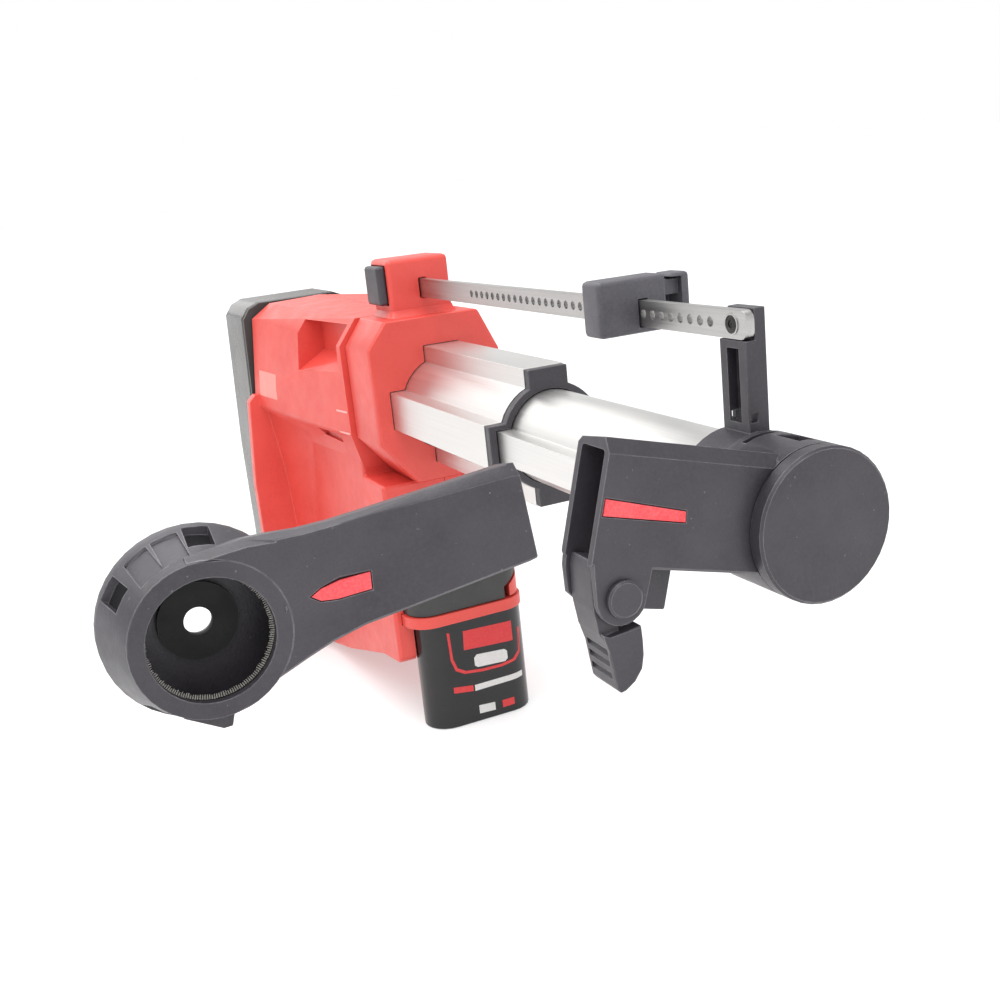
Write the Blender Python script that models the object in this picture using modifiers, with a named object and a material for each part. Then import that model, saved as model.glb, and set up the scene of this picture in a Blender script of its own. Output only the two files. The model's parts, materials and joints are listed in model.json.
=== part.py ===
"""Dust extractor attachment for a cordless rotary hammer.

A telescopic suction arm runs along Y out of a red body.  At its front end sits
a swivelling elbow with a rectangular socket, and a plug-in suction nozzle hangs
tilted in front of the socket.  A depth rod with a sliding stop runs above the
arm.  The body stands on its stick battery and on its dust box.

The design is laid out in millimetres about the arm's axis: X across, Y along
the arm towards the back, Z up, with zero at the front cap's outer face.  The
part's own origin is the point straight under the arm's axis, midway along the
battery, on the plane that the battery stands on.
"""
import math

import bmesh
import bpy
from mathutils import Vector

MM = 0.001
GAP = 0.3                      # clearance between neighbouring pieces
OVER = 2.0                     # how far a cutter runs past the wall it cuts

# driving dimensions
BASE_Z = -156.0                # surface that the part stands on, below the arm's axis
BATTERY_FRONT_Y = 257.0
BATTERY_DEPTH = 38.0
BATTERY_MID_X = 2.7
CAP_RADIUS = 21.0
CAP_DEPTH = 4.7
ELBOW_END_Y = 27.0
ELBOW_SWIVEL = math.radians(15.4)
NOZZLE_TILT = math.radians(22.7)

SOCKET_REACH = 65.0            # arm axis to the mouth
SOCKET_FRONT_Y = 5.0
SOCKET_BACK_Y = 20.4
SOCKET_TOP = 16.5
SOCKET_BOTTOM = -14.7
SOCKET_WALL = 2.1
SOCKET_CHAMFER = 3.6
SOCKET_TOP_FALL = 1.4          # the top falls this far towards the back
OPEN_FLOOR_FROM = 45.5         # the floor stops here, and the latch works beyond it
PIN_REACH = 54.8
PIN_DROP = -22.0
PIN_RADIUS = 2.2
PIN_HEAD_RADIUS = 4.8

NOZZLE_INSERT = 20.0           # length of duct inside the socket when plugged in
NOZZLE_SEAT_RISE = 1.5
NOZZLE_REST_REACH = 83.4       # duct tip at rest, from the arm's axis, along the socket
NOZZLE_REST_RISE = -1.2
NOZZLE_FRONT_Y = 7.5
NOZZLE_BACK_Y = 17.8
NOZZLE_WALL = 1.8
RING_REACH = 76.8
RING_DROP = -4.2
RING_FACE_RADIUS = 17.6
RING_RIM_RADIUS = 21.9
RING_RIM_Y = 21.6              # the flare ends here
RING_OPENING_RADIUS = 13.8
RING_BACK_Y = 26.0
BIT_HOLE_RADIUS = 3.6
RING_SEAM = 0.04               # the duct and the ring meet in a hairline joint
RECESS_DEPTH = 0.7             # shallow panels on the ring's flare

POST_LEFT = -2.6
POST_RIGHT = 4.1
POST_FRONT_Y = 28.0
POST_BACK_Y = 40.0
POST_TOP = 54.3
BRACKET_BACK_Y = 41.0
ROD_THICKNESS = 2.8
ROD_HEIGHT = 8.0
ROD_CENTRE_Z = 50.0
ROD_FRONT_Y = 27.4
ROD_LENGTH = 290.0
ROD_SCREW_Y = 34.0
ROD_FIRST_HOLE_Y = 44.0
ROD_HOLE_PITCH = 5.0
ROD_HOLE_RADIUS = 1.5
ROD_HOLE_COUNT = 34

INNER_TUBE_RADIUS = 17.5
INNER_BORE_RADIUS = 15.8
INNER_TUBE_END_Y = 240.0
RAIL_HALF_WIDTH = 5.8
RAIL_REACH = 22.4
OUTER_TUBE_FRONT_Y = 156.2
OUTER_TUBE_BACK_Y = 345.0
OUTER_TUBE_RADIUS = 20.7
OUTER_LUG_HALF_WIDTH = 8.2
OUTER_LUG_REACH = 26.0
OUTER_WALL = 1.5
BUSHING_FRONT_Y = 152.6
BUSHING_BACK_Y = 170.0

STOP_FRONT_Y = 81.0
STOP_BACK_Y = 92.0
STOP_LEFT = -16.6
STOP_RIGHT = 7.6
STOP_BOTTOM = 43.8
STOP_TOP = 61.0
BUTTON_TRAVEL = 2.4

COLLAR_FRONT_Y = 255.0
COLLAR_BACK_Y = 288.0
BODY_BACK_Y = 407.4
BODY_TOP = 38.6
SPLIT_X = -3.0                 # parting plane of the two housing shells
BODY_WALL = 2.5
LOWER_BOTTOM = -151.0
LOWER_RIGHT = 31.0
LOWER_LEFT = -33.0
DUST_BOX_FRONT_Y = 409.6
DUST_BOX_BACK_Y = 453.0
DUST_BOX_WALL = 2.0

POCKET_FRONT_Y = 291.6
POCKET_BACK_Y = 340.0
POCKET_FLOOR_X = -27.5
POCKET_BOTTOM = 12.0
POCKET_TOP = 36.0

MOTOR_X = -3.0
MOTOR_Z = -52.0

ROUND = 40                     # sides of a large round
SMALL_ROUND = 20               # sides of a small round

TURN = {"xz": (math.pi / 2, 0, 0), "yz": (math.pi / 2, 0, math.pi / 2), "xy": (0, 0, 0)}
NORMAL = {"xz": (0, 1, 0), "yz": (1, 0, 0), "xy": (0, 0, 1)}


# ---------------------------------------------------------------- scene and materials

def clear_scene():
    for thing in list(bpy.data.objects):
        bpy.data.objects.remove(thing, do_unlink=True)


def new_collection(name):
    collection = bpy.data.collections.new(name)
    bpy.context.scene.collection.children.link(collection)
    return collection


def new_material(name, colour, roughness, metallic=0.0, alpha=1.0):
    material = bpy.data.materials.new(name)
    material.use_nodes = True
    shader = material.node_tree.nodes["Principled BSDF"]
    shader.inputs["Base Color"].default_value = (*colour, 1.0)
    shader.inputs["Roughness"].default_value = roughness
    shader.inputs["Metallic"].default_value = metallic
    shader.inputs["Alpha"].default_value = alpha
    return material


clear_scene()
PARTS = new_collection("dust_extractor")
CUTTERS = new_collection("cutters")

RED = new_material("red_plastic", (0.72, 0.05, 0.035), 0.42)
BLACK = new_material("black_plastic", (0.045, 0.043, 0.050), 0.62)
GREY = new_material("grey_plastic", (0.09, 0.09, 0.09), 0.5)
MARK = new_material("mark_red", (0.75, 0.07, 0.08), 0.5)
ALUMINIUM = new_material("satin_aluminium", (0.78, 0.76, 0.74), 0.32, 1.0)
STEEL = new_material("zinc_steel", (0.6, 0.6, 0.6), 0.35, 1.0)
SMOKE = new_material("smoke_polycarbonate", (0.12, 0.11, 0.10), 0.15, 0.0, 0.6)
RUBBER = new_material("rubber", (0.02, 0.02, 0.02), 0.85)
PAPER = new_material("filter_paper", (0.82, 0.80, 0.74), 0.9)
BOARD = new_material("circuit_board", (0.03, 0.16, 0.07), 0.5)
BRISTLE = new_material("bristle", (0.35, 0.34, 0.31), 0.8)


# ---------------------------------------------------------------- frames and helpers

def frame_empty(name, x, y, z, parent=None, turn=0.0):
    """An empty at a millimetre place in its parent, turned about +Y."""
    empty = bpy.data.objects.new(name, None)
    empty.location = (x * MM, y * MM, z * MM)
    empty.rotation_euler = (0, turn, 0)
    empty.parent = parent
    bpy.context.scene.collection.objects.link(empty)
    return empty


BATTERY_MID_Y = BATTERY_FRONT_Y + BATTERY_DEPTH / 2
ARM = frame_empty("arm_axis", 0, -BATTERY_MID_Y, -BASE_Z)
ELBOW = frame_empty("elbow_axis", 0, 0, 0, ARM, ELBOW_SWIVEL)


def nozzle_centre():
    """Centre of the turn that carries the tip from rest to its seat, as (reach, rise)."""
    seat = (SOCKET_REACH - NOZZLE_INSERT, NOZZLE_SEAT_RISE)
    rest = (NOZZLE_REST_REACH, NOZZLE_REST_RISE)
    run = (rest[0] - seat[0], rest[1] - seat[1])
    ratio = 0.5 / math.tan(NOZZLE_TILT / 2)
    middle = ((seat[0] + rest[0]) / 2, (seat[1] + rest[1]) / 2)
    return seat, (middle[0] + run[1] * ratio, middle[1] - run[0] * ratio)


SEAT, CENTRE = nozzle_centre()
HINGE = frame_empty("nozzle_hinge", -CENTRE[0], 0, CENTRE[1], ELBOW, -NOZZLE_TILT)
NOZZLE = frame_empty("nozzle_tip", CENTRE[0] - SEAT[0], 0, SEAT[1] - CENTRE[1], HINGE)
LATCH = frame_empty("latch_axis", -PIN_REACH, 0, PIN_DROP, ELBOW)


def place(thing, parent, collection):
    thing.parent = parent
    collection.objects.link(thing)
    return thing


def finish(thing, material):
    thing.data.materials.clear()
    thing.data.materials.append(material)
    thing.data.shade_smooth()
    thing.data.set_sharp_from_angle(angle=math.radians(32))
    return thing


def circle(radius, sides=ROUND, cx=0.0, cz=0.0):
    """Points of a circle."""
    step = 2 * math.pi / sides
    return [(cx + radius * math.cos(i * step), cz + radius * math.sin(i * step)) for i in range(sides)]


def rectangle(left, right, bottom, top):
    return [(left, bottom), (right, bottom), (right, top), (left, top)]


def rounded_rectangle(left, right, bottom, top, radius, sides=6):
    """A rectangle whose corners are arcs."""
    corners = (
        (right - radius, top - radius, 0),
        (left + radius, top - radius, 90),
        (left + radius, bottom + radius, 180),
        (right - radius, bottom + radius, 270),
    )
    points = []
    for cx, cz, start in corners:
        for i in range(sides + 1):
            angle = math.radians(start + 90 * i / sides)
            points.append((cx + radius * math.cos(angle), cz + radius * math.sin(angle)))
    return points


def lugged(radius, half_width, reach, lugs=(0, 90, 180, 270)):
    """A circle with flat rectangular lugs standing out at the given angles."""
    spread = math.degrees(math.asin(half_width / radius))
    points = []
    for index, centre in enumerate(lugs):
        angle = math.radians(centre)
        for side in (-half_width, half_width):
            x = reach * math.cos(angle) - side * math.sin(angle)
            z = reach * math.sin(angle) + side * math.cos(angle)
            points.append((x, z))
        following = lugs[(index + 1) % len(lugs)]
        sweep = (following - centre) % 360 or 360
        start = centre + spread
        span = sweep - 2 * spread
        steps = max(2, round(span / 7.5))
        for i in range(steps + 1):
            turn = math.radians(start + span * i / steps)
            points.append((radius * math.cos(turn), radius * math.sin(turn)))
    return points


def prism(name, loops, start, end, plane, parent=ARM, collection=None):
    """Flat outlines (the first is the outside) extruded from start to end across a plane."""
    curve = bpy.data.curves.new(name, "CURVE")
    curve.dimensions = "2D"
    curve.fill_mode = "BOTH"
    curve.extrude = abs(end - start) * MM / 2
    for loop in loops:
        spline = curve.splines.new("POLY")
        spline.points.add(len(loop) - 1)
        for point, (a, b) in zip(spline.points, loop):
            point.co = (a * MM, b * MM, 0, 1)
        spline.use_cyclic_u = True
    sketch = bpy.data.objects.new(name + "_sketch", curve)
    bpy.context.scene.collection.objects.link(sketch)
    depsgraph = bpy.context.evaluated_depsgraph_get()
    mesh = bpy.data.meshes.new_from_object(sketch.evaluated_get(depsgraph))
    bpy.data.objects.remove(sketch)
    weld(mesh)
    thing = bpy.data.objects.new(name, mesh)
    middle = (start + end) / 2 * MM
    thing.location = [middle * part for part in NORMAL[plane]]
    thing.rotation_euler = TURN[plane]
    return place(thing, parent, collection or PARTS)


def weld(mesh):
    """Weld the loose caps of an extruded outline and point its faces out."""
    work = bmesh.new()
    work.from_mesh(mesh)
    bmesh.ops.remove_doubles(work, verts=work.verts, dist=1e-6)
    bmesh.ops.recalc_face_normals(work, faces=work.faces)
    work.to_mesh(mesh)
    work.free()


def box(name, x, y, z, parent=ARM, collection=None):
    """A box from its (low, high) spans in millimetres."""
    mesh = bpy.data.meshes.new(name)
    work = bmesh.new()
    bmesh.ops.create_cube(work, size=1.0)
    size = [(high - low) * MM for low, high in (x, y, z)]
    bmesh.ops.scale(work, vec=size, verts=work.verts)
    work.to_mesh(mesh)
    work.free()
    thing = bpy.data.objects.new(name, mesh)
    thing.location = [(low + high) / 2 * MM for low, high in (x, y, z)]
    return place(thing, parent, collection or PARTS)


def turned(name, profile, x=0.0, z=0.0, parent=ARM, collection=None, steps=ROUND, closed=False):
    """A profile of (radius, y) points turned about a line along Y; it starts at the back."""
    mesh = bpy.data.meshes.new(name)
    work = bmesh.new()
    verts = [work.verts.new((radius * MM, 0, y * MM)) for radius, y in profile]
    for first, second in zip(verts, verts[1:]):
        work.edges.new((first, second))
    if closed:
        work.edges.new((verts[-1], verts[0]))
    work.to_mesh(mesh)
    work.free()
    thing = bpy.data.objects.new(name, mesh)
    thing.location = (x * MM, 0, z * MM)
    thing.rotation_euler = (-math.pi / 2, 0, 0)
    screw = thing.modifiers.new("turn", "SCREW")
    screw.steps = steps
    screw.render_steps = steps
    screw.use_merge_vertices = True
    screw.merge_threshold = 0.00001
    return place(thing, parent, collection or PARTS)


def combine(target, tool, operation, solver="EXACT"):
    """Apply a boolean with a tool that is not part of the object."""
    if tool.name in PARTS.objects:
        PARTS.objects.unlink(tool)
        CUTTERS.objects.link(tool)
    tool.hide_render = True
    tool.display_type = "WIRE"
    boolean = target.modifiers.new(tool.name, "BOOLEAN")
    boolean.operation = operation
    boolean.solver = solver
    boolean.object = tool
    return target


def cut(target, tool, solver="EXACT"):
    return combine(target, tool, "DIFFERENCE", solver)


def join(target, tool, solver="EXACT"):
    return combine(target, tool, "UNION", solver)


def bevel(thing, width, segments=2, angle=40):
    modifier = thing.modifiers.new("edges", "BEVEL")
    modifier.width = width * MM
    modifier.segments = segments
    modifier.limit_method = "ANGLE"
    modifier.angle_limit = math.radians(angle)
    return thing


def offset(points, margin):
    """An anticlockwise outline with every side moved outwards by the margin."""
    out = []
    count = len(points)
    for i in range(count):
        before, here, after = (Vector(points[j % count]) for j in (i - 1, i, i + 1))
        first = Vector((here.y - before.y, before.x - here.x)).normalized()
        second = Vector((after.y - here.y, here.x - after.x)).normalized()
        moved = here + (first + second) * (margin / (1 + first.dot(second)))
        out.append((moved.x, moved.y))
    return out


def loft(name, stations, plane, parent=ARM, collection=None):
    """A closed body through matching outlines, each at its own place across a plane."""
    mesh = bpy.data.meshes.new(name)
    work = bmesh.new()
    rings = []
    for place_at, outline in stations:
        spots = {"xz": lambda a, b: (a, place_at, b), "yz": lambda a, b: (place_at, a, b),
                 "xy": lambda a, b: (a, b, place_at)}
        rings.append([work.verts.new([part * MM for part in spots[plane](a, b)]) for a, b in outline])
    for first, second in zip(rings, rings[1:]):
        for i in range(len(first)):
            work.faces.new((first[i - 1], first[i], second[i], second[i - 1]))
    work.faces.new(rings[0])
    work.faces.new(rings[-1])
    bmesh.ops.connect_verts_nonplanar(work, angle_limit=0.0005, faces=work.faces)
    bmesh.ops.recalc_face_normals(work, faces=work.faces)
    work.to_mesh(mesh)
    work.free()
    return place(bpy.data.objects.new(name, mesh), parent, collection or PARTS)


# ---------------------------------------------------------------- elbow and its latch

def elbow_housing():
    """Round elbow with the rectangular socket duct on its side and two latch ears."""
    shell = turned("elbow_housing", [
        (CAP_RADIUS, ELBOW_END_Y), (CAP_RADIUS, CAP_DEPTH + GAP),
        (18.0, CAP_DEPTH + GAP), (18.0, ELBOW_END_Y)], parent=ELBOW, closed=True)
    top_front = SOCKET_TOP - SOCKET_CHAMFER
    section = [
        (SOCKET_FRONT_Y, SOCKET_BOTTOM + 0.6), (SOCKET_FRONT_Y, top_front),
        (SOCKET_FRONT_Y + 3.0, SOCKET_TOP), (SOCKET_BACK_Y - 1.6, SOCKET_TOP - SOCKET_TOP_FALL),
        (SOCKET_BACK_Y, SOCKET_TOP - SOCKET_TOP_FALL - 1.6), (SOCKET_BACK_Y, SOCKET_BOTTOM + 0.6),
        (SOCKET_BACK_Y - 0.6, SOCKET_BOTTOM), (SOCKET_FRONT_Y + 0.6, SOCKET_BOTTOM)]
    join(shell, prism("socket_duct", [section], -SOCKET_REACH, -6.0, "yz", ELBOW))
    ear = front_ear_outline()
    join(shell, prism("front_ear", [ear], SOCKET_FRONT_Y, SOCKET_FRONT_Y + SOCKET_WALL, "xz", ELBOW))
    rear = [(-SOCKET_REACH + 0.2, SOCKET_BOTTOM + 3.4), (-64.4, -18.2), (-62.5, -24.5), (-57.0, -28.0),
            (-49.0, -28.0), (-44.0, -24.5), (-36.8, -24.5), (-36.8, SOCKET_BOTTOM + 3.4)]
    join(shell, prism("rear_ear", [rear], SOCKET_BACK_Y - SOCKET_WALL, SOCKET_BACK_Y - 0.1, "xz", ELBOW),
         "MANIFOLD")
    join(shell, box("spring_housing", (-43.6, -37.4), (12.0, SOCKET_BACK_Y - 0.2), (-26.6, SOCKET_BOTTOM + 1),
                    ELBOW))
    inner_y = (SOCKET_FRONT_Y + SOCKET_WALL, SOCKET_BACK_Y - SOCKET_WALL)
    inner_z = (SOCKET_BOTTOM + SOCKET_WALL - 0.1, SOCKET_TOP - SOCKET_TOP_FALL - 1.7)
    hollow = rounded_rectangle(*inner_y, *inner_z, 1.0, 3)
    cut(shell, prism("socket_hollow", [hollow], -SOCKET_REACH - OVER, -6.5, "yz", ELBOW))
    cut(shell, box("open_floor", (-SOCKET_REACH - OVER, -OPEN_FLOOR_FROM), inner_y,
                   (SOCKET_BOTTOM - 1, inner_z[0] + 2), ELBOW))
    core = turned("elbow_core", [(0, ELBOW_END_Y + OVER), (18.0, ELBOW_END_Y + OVER),
                                 (18.0, 0), (0, 0)], parent=ELBOW)
    cut(shell, core)
    cut(shell, turned("pin_holes", [(0, 30), (PIN_RADIUS + GAP, 30), (PIN_RADIUS + GAP, 0), (0, 0)],
                      -PIN_REACH, PIN_DROP, ELBOW, steps=SMALL_ROUND))
    cut(shell, box("top_window", (-5.8, 2.5), (10.0, 20.2), (16.0, 24.0), ELBOW))
    cut(shell, box("top_slit", (-12.5, -2.0), (23.0, 25.0), (12.4, 24.0), ELBOW))
    mark = mark_outline()
    cut(shell, prism("mark_recess", [offset(mark, GAP)], SOCKET_FRONT_Y - OVER,
                     SOCKET_FRONT_Y + 0.8, "xz", ELBOW))
    finish(shell, BLACK)


def front_ear_outline():
    """The ear runs down from the mouth and rounds off about the pin."""
    radius = 7.2
    points = [(-47.6, SOCKET_BOTTOM + 3), (-SOCKET_REACH, SOCKET_BOTTOM + 3)]
    for i in range(11):
        angle = math.radians(188 + 150 * i / 10)
        points.append((-PIN_REACH + radius * math.cos(angle), PIN_DROP + radius * math.sin(angle)))
    return points


def mark_outline():
    """Tapered alignment mark on the socket's front wall."""
    return [(-64.0, -2.1), (-40.4, -2.3), (-40.8, 0.4), (-64.0, 2.0)]


def socket_mark():
    mark = prism("socket_mark", [mark_outline()], SOCKET_FRONT_Y - 0.12, SOCKET_FRONT_Y + 0.5, "xz", ELBOW)
    finish(mark, MARK)


def front_cap():
    """Round cover of the elbow with a chamfered rim and a plug inside."""
    edge = 0.7
    cap = turned("front_cap", [
        (0, CAP_DEPTH), (14.0, CAP_DEPTH), (14.0, 9.5), (17.6, 9.5), (17.6, CAP_DEPTH),
        (CAP_RADIUS, CAP_DEPTH), (CAP_RADIUS, edge), (CAP_RADIUS - edge, 0), (0, 0)], parent=ELBOW)
    slot = box("plug_gap", (-20.0, -8.0), (CAP_DEPTH, 12.0), (-15.0, 15.0), ELBOW)
    cut(cap, slot)
    finish(cap, BLACK)


def latch_pin():
    pin = turned("latch_pin", [
        (0, 22.2), (3.4, 22.2), (3.4, SOCKET_BACK_Y + GAP), (PIN_RADIUS, SOCKET_BACK_Y + GAP),
        (PIN_RADIUS, SOCKET_FRONT_Y - GAP), (PIN_HEAD_RADIUS, SOCKET_FRONT_Y - GAP),
        (PIN_HEAD_RADIUS, 3.6), (PIN_HEAD_RADIUS - 0.5, 3.1), (0, 3.1)],
        -PIN_REACH, PIN_DROP, ELBOW, steps=32)
    finish(pin, BLACK)


def latch_lever():
    """Lever with a barrel on the pin, a hook under the duct and a ribbed thumb pad."""
    front = SOCKET_FRONT_Y + SOCKET_WALL + GAP
    back = SOCKET_BACK_Y - SOCKET_WALL - GAP
    lever = prism("latch_lever", [[
        (-8.6, 8.2), (-5.0, 8.2), (4.6, 3.0), (5.2, 0.0), (4.4, -3.4), (2.6, -5.4), (1.6, -7.2),
        (1.6, -12.0), (-2.0, -12.0), (-3.6, -9.8), (-6.2, -4.0), (-7.2, -0.6), (-8.6, 5.0)]],
        front, back, "xz", LATCH)
    pad = [(-3.3, -9.8), (-1.4, -10.2), (6.9, -6.8), (8.2, -10.6), (9.2, -14.4), (9.4, -18.0),
           (8.0, -21.4), (5.8, -23.8), (4.4, -24.5), (3.0, -23.4), (1.0, -18.8), (-0.8, -14.2),
           (-2.8, -11.0)]
    join(lever, prism("thumb_pad", [pad], 5.4, back + 0.002, "xz", LATCH))
    cut(lever, turned("lever_bore", [(0, 30), (PIN_RADIUS + GAP, 30), (PIN_RADIUS + GAP, 0), (0, 0)],
                      parent=LATCH, steps=SMALL_ROUND))
    for left, depth in ((-0.9, -14.2), (0.3, -17.3), (1.6, -20.5)):
        groove = turned("rib_groove", [(0, back - 1.0), (1.0, back - 1.0), (1.0, 6.6), (0, 6.6)],
                        left, depth, LATCH, steps=8)
        cut(lever, groove)
    finish(lever, BLACK)


# ---------------------------------------------------------------- nozzle

def duct_section(bottom, front_edge, top, inset=0.0):
    """Cross-section of the nozzle duct in (y, z): a front chamfer and a top that falls to the back."""
    front = NOZZLE_FRONT_Y + inset
    back = NOZZLE_BACK_Y - inset
    low = bottom + inset
    return [
        (front, low + 0.6), (front + 0.6, low), (back - 0.8, low), (back, low + 0.8),
        (back, top - 2.6 - inset), (back - 1.2, top - 1.5 - inset), (front + 2.4, top - inset),
        (front, front_edge - inset * 0.4)]


# reach from the tip, then the heights of the bottom, the front face's edge and the top
DUCT_STATIONS = (
    (0.0, -13.4, 7.4, 10.2), (-2.0, -13.6, 7.8, 10.6), (-22.0, -13.6, 9.2, 11.0), (-44.0, -13.6, 10.9, 11.6),
    (-52.0, -14.6, 11.4, 12.3), (-58.0, -16.0, 12.2, 13.4), (-64.0, -17.6, 12.8, 14.2),
    (-70.0, -19.2, 13.0, 14.4), (-77.0, -21.2, 13.0, 14.4))


def ring_envelope(name, margin):
    """Outer form of the flared ring, grown by a margin."""
    profile = [
        (0, 40), (RING_RIM_RADIUS + margin, 40), (RING_RIM_RADIUS + margin, RING_RIM_Y - margin),
        (RING_FACE_RADIUS + margin, 8.4 - margin / 2), (RING_FACE_RADIUS + margin, 0), (0, 0)]
    return turned(name, profile, -RING_REACH, RING_DROP, NOZZLE)


def nozzle_duct():
    stations = [(x, duct_section(*heights)) for x, *heights in DUCT_STATIONS]
    duct = loft("nozzle_duct", stations, "yz", NOZZLE)
    inner = [(x, duct_section(*heights, NOZZLE_WALL)) for x, *heights in DUCT_STATIONS[1:]]
    inner[0] = (OVER, inner[0][1])
    inner[-1] = (-80.0, inner[-1][1])
    cut(duct, loft("duct_hollow", inner, "yz", NOZZLE))
    cut(duct, ring_envelope("ring_clearance", RING_SEAM))
    mark = nozzle_mark_outline()
    cut(duct, prism("nozzle_mark_recess", [offset(mark, GAP)], NOZZLE_FRONT_Y - OVER,
                    NOZZLE_FRONT_Y + 0.8, "xz", NOZZLE))
    finish(duct, BLACK)


def nozzle_mark_outline():
    """Bullet-shaped alignment mark."""
    return [(-40.6, -5.8), (-40.0, -1.9), (-47.0, -1.3), (-51.6, -1.7), (-54.0, -2.7), (-52.2, -4.3),
            (-48.6, -5.2)]


def nozzle_ring():
    """Flared cup: a wide opening at the front, a small hole for the bit at the back."""
    wall = 1.9
    inner_rim = RING_RIM_RADIUS - wall
    ring = turned("nozzle_ring", [
        (RING_RIM_RADIUS, RING_BACK_Y - 1.2), (RING_RIM_RADIUS, RING_RIM_Y), (RING_FACE_RADIUS, 8.4),
        (RING_FACE_RADIUS, NOZZLE_FRONT_Y), (RING_OPENING_RADIUS, NOZZLE_FRONT_Y),
        (RING_OPENING_RADIUS, 9.4), (RING_OPENING_RADIUS + 1.4, 9.8), (inner_rim, RING_RIM_Y + 0.4),
        (inner_rim, RING_BACK_Y - wall), (BIT_HOLE_RADIUS, RING_BACK_Y - wall),
        (BIT_HOLE_RADIUS, RING_BACK_Y), (RING_RIM_RADIUS - 1.2, RING_BACK_Y)],
        -RING_REACH, RING_DROP, NOZZLE, closed=True)
    fin = [(-75.6, -25.0), (-77.2, -28.6), (-79.2, -28.4), (-86.6, -22.8)]
    join(ring, prism("ring_fin", [fin], 17.0, RING_BACK_Y - 1.2, "xz", NOZZLE))
    passage = box("duct_passage", (-68.0, -48.0), (9.6, 18.0), (-16.5, 9.0), NOZZLE)
    cut(ring, passage)
    for index, angle in enumerate((76, 138, 225)):
        window = box("ring_window_%d" % index, (RING_FACE_RADIUS + 0.4, 30.0), (14.0, 21.4), (-2.9, 2.9),
                     NOZZLE)
        spin(window, angle)
        cut(ring, window)
    for index, angle in enumerate((95, 114)):
        cut(ring, flare_recess("flare_recess_%d" % index, angle))
    finish(ring, BLACK)


def flare_radius(y):
    share = (y - 8.4) / (RING_RIM_Y - 8.4)
    return RING_FACE_RADIUS + share * (RING_RIM_RADIUS - RING_FACE_RADIUS)


def flare_recess(name, angle):
    """Cutter for a shallow panel that follows the flare."""
    front, back = 10.6, 20.4
    shell = turned(name, [
        (flare_radius(front) - RECESS_DEPTH, front), (flare_radius(front) + 3.0, front),
        (flare_radius(back) + 3.0, back), (flare_radius(back) - RECESS_DEPTH, back)],
        -RING_REACH, RING_DROP, NOZZLE, closed=True)
    sector = box(name + "_sector", (10.0, 34.0), (9.0, 22.0), (-3.0, 3.0), NOZZLE)
    spin(sector, angle)
    return combine(shell, sector, "INTERSECT")


def spin(thing, angle):
    """Carry a piece round the ring's centre; zero is +X and it turns towards +Z."""
    turn = math.radians(angle)
    radius = thing.location[0]
    thing.location[0] = -RING_REACH * MM + radius * math.cos(turn)
    thing.location[2] = RING_DROP * MM + radius * math.sin(turn)
    thing.rotation_euler = (0, -turn, 0)


def nozzle_small_parts():
    brush = prism("brush_ring", [circle(14.6, ROUND, -RING_REACH, RING_DROP),
                                 circle(12.9, ROUND, -RING_REACH, RING_DROP)], 10.6, 12.0, "xz", NOZZLE)
    finish(brush, BRISTLE)
    seal = prism("bit_seal", [circle(9.0, 32, -RING_REACH, RING_DROP),
                              circle(BIT_HOLE_RADIUS - 0.4, 32, -RING_REACH, RING_DROP)],
                 RING_BACK_Y - 1.9 - GAP - 1.4, RING_BACK_Y - 1.9 - GAP, "xz", NOZZLE)
    finish(seal, RUBBER)
    mark = prism("nozzle_mark", [nozzle_mark_outline()], NOZZLE_FRONT_Y - 0.12, NOZZLE_FRONT_Y + 0.5, "xz",
                 NOZZLE)
    finish(mark, MARK)


# ---------------------------------------------------------------- arm, post and depth rod

def post_bracket():
    """Ring on the arm's front end, a spigot for the elbow and the upright post."""
    ring = prism("post_bracket", [circle(20.6), circle(INNER_BORE_RADIUS)],
                 ELBOW_END_Y + GAP, BRACKET_BACK_Y, "xz")
    join(ring, prism("elbow_spigot", [circle(17.6), circle(INNER_BORE_RADIUS)], 23.4,
                     ELBOW_END_Y + 1.0, "xz"))
    join(ring, box("post", (POST_LEFT, POST_RIGHT), (POST_FRONT_Y, POST_BACK_Y), (17.0, POST_TOP)))
    notch_top = ROD_CENTRE_Z - ROD_HEIGHT / 2 - GAP
    cut(ring, box("rod_notch", (POST_LEFT - OVER, POST_LEFT + ROD_THICKNESS + GAP),
                  (ELBOW_END_Y, POST_BACK_Y + OVER), (notch_top, POST_TOP + OVER)))
    cut(ring, box("post_groove", (POST_LEFT - OVER, 0.6), (31.4, 36.8), (23.0, notch_top - 2.2)))
    cut(ring, box("post_hole", (-1.9, 0.4), (25.0, 45.0), (23.3, 25.7)))
    cut(ring, box("post_side_hole", (0.0, POST_RIGHT + OVER), (31.4, 38.4), (21.4, 25.7)))
    cut(ring, turned("screw_thread_hole", [(0, 8), (1.4, 8), (1.4, -4), (0, -4)], steps=12))
    aim_along_x(ring.modifiers[-1].object, 1.0, ROD_SCREW_Y, ROD_CENTRE_Z)
    finish(ring, BLACK)


def aim_along_x(thing, x, y, z):
    """Lay a turned piece along X instead of Y."""
    thing.location = (x * MM, y * MM, z * MM)
    thing.rotation_euler = (0, math.pi / 2, 0)


def inner_tube():
    outline = lugged(INNER_TUBE_RADIUS, RAIL_HALF_WIDTH, RAIL_REACH, (180,))
    tube = prism("inner_tube", [outline, circle(INNER_BORE_RADIUS)], BRACKET_BACK_Y + GAP,
                 INNER_TUBE_END_Y, "xz")
    finish(tube, ALUMINIUM)
    seal = prism("tube_seal", [circle(18.7), circle(INNER_BORE_RADIUS)], INNER_TUBE_END_Y + GAP,
                 INNER_TUBE_END_Y + 6.0, "xz")
    finish(seal, RUBBER)


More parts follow.
